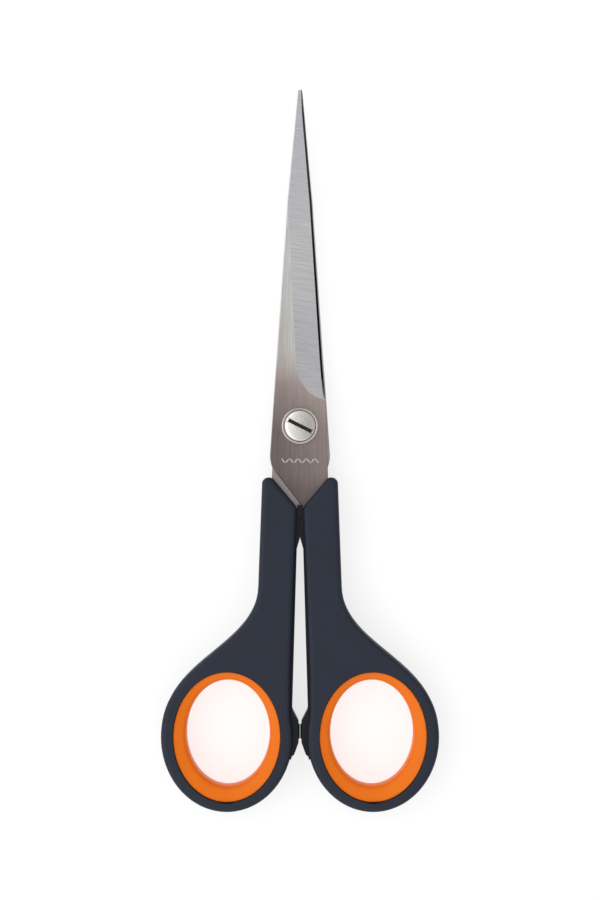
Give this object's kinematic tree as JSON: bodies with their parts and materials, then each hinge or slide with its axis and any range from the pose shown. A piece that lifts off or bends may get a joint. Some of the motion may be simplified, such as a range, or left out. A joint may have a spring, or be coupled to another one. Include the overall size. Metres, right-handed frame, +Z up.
{
  "type": "fabric shears",
  "caption": "Fabric shears with straight ground blades on an adjustable slotted pivot screw, soft-grip handles and lined oval finger loops that open like scissors.",
  "frame": {"origin": "middle of the part's box, on the surface that the handles lie on", "axes": "+Y along the closed blades towards the tips, +Z up from the resting face to the screw head side, +X towards the handle of the front blade"},
  "size_m": [0.0692, 0.18, 0.0096],
  "materials": {
    "blade_steel": "stainless sheet, cross-ground cutting face and lengthwise brushed flat",
    "screw_steel": "turned steel, satin",
    "cup_steel": "pressed steel, bright",
    "nut_steel": "turned steel, plain",
    "washer_nylon": "natural nylon",
    "core_plastic": "moulded, fine texture",
    "soft_grip": "soft-touch moulded, matt",
    "loop_liner": "moulded, satin",
    "stop_rubber": "moulded, matt"
  },
  "bodies": {
    "rear_half": {"rear_blade": "blade_steel", "left_handle_core": "core_plastic", "left_soft_grip": "soft_grip", "left_loop_liner": "loop_liner", "left_stop_pad": "stop_rubber", "blade_washer": "washer_nylon", "spring_washer": "nut_steel", "pivot_sleeve_nut": "nut_steel", "screw_cup_washer": "cup_steel"},
    "front_half": {"front_blade": "blade_steel", "right_handle_core": "core_plastic", "right_soft_grip": "soft_grip", "right_loop_liner": "loop_liner", "right_stop_pad": "stop_rubber"},
    "tension_screw": {"pivot_screw": "screw_steel"}
  },
  "joints": [
    {"name": "blade_pivot", "type": "hinge", "parent": "rear_half", "child": "front_half", "pos_m": [0, 0.00602, 0.0048], "axis": [0, 0, 1], "range_deg": [0, 105]},
    {"name": "tension_screw_turn", "type": "hinge", "parent": "rear_half", "child": "tension_screw", "pos_m": [0, 0.00602, 0.0048], "axis": [0, 0, 1], "range_deg": [-90, 90]}
  ]
}
